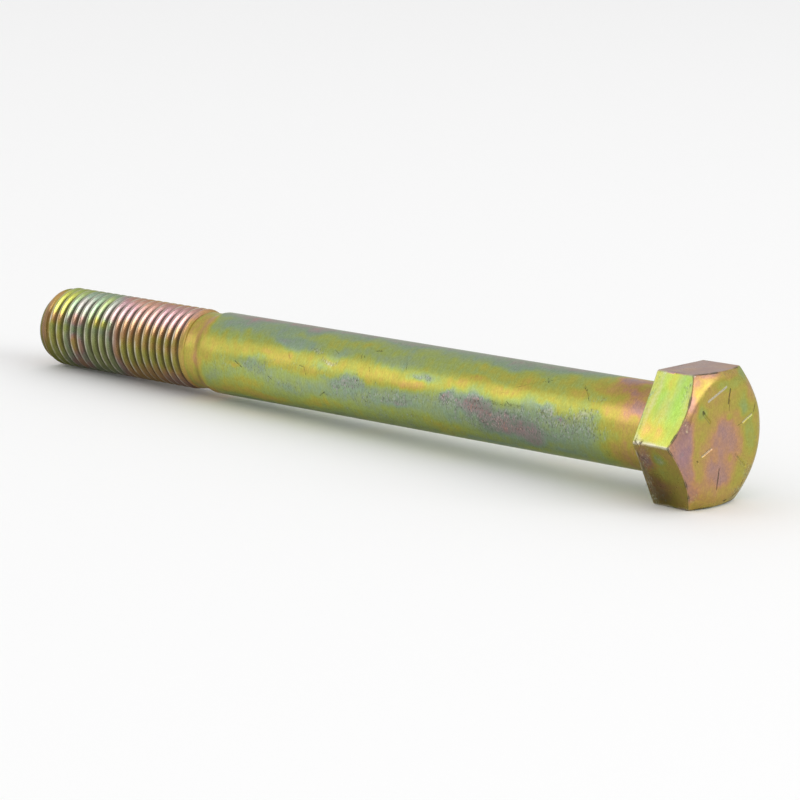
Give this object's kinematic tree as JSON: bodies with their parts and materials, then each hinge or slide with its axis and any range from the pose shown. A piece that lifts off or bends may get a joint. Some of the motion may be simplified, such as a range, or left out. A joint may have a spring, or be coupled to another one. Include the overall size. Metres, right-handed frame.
{
  "type": "hex bolt",
  "caption": "Long hex-head cap screw lying on its side: washer-faced head with a chamfered end, plain shank, and a rolled right-hand thread on the last quarter.",
  "frame": {"origin": "centre of the head's flat end face, on the bolt's axis", "axes": "+X along the axis, out of the head, with the threaded end at -X; +Z out of the wrench flat that faces up while the bolt lies on its side; two corners of the hexagon point to +Y and -Y"},
  "size_m": [0.257, 0.0432, 0.0374],
  "materials": {
    "yellow_zinc_steel": "zinc plated with a yellow chromate coat, satin, with green, gold and pink interference tints, scuffs and fine scratches"
  },
  "bodies": {
    "root": {"hex_bolt": "yellow_zinc_steel"}
  },
  "joints": []
}
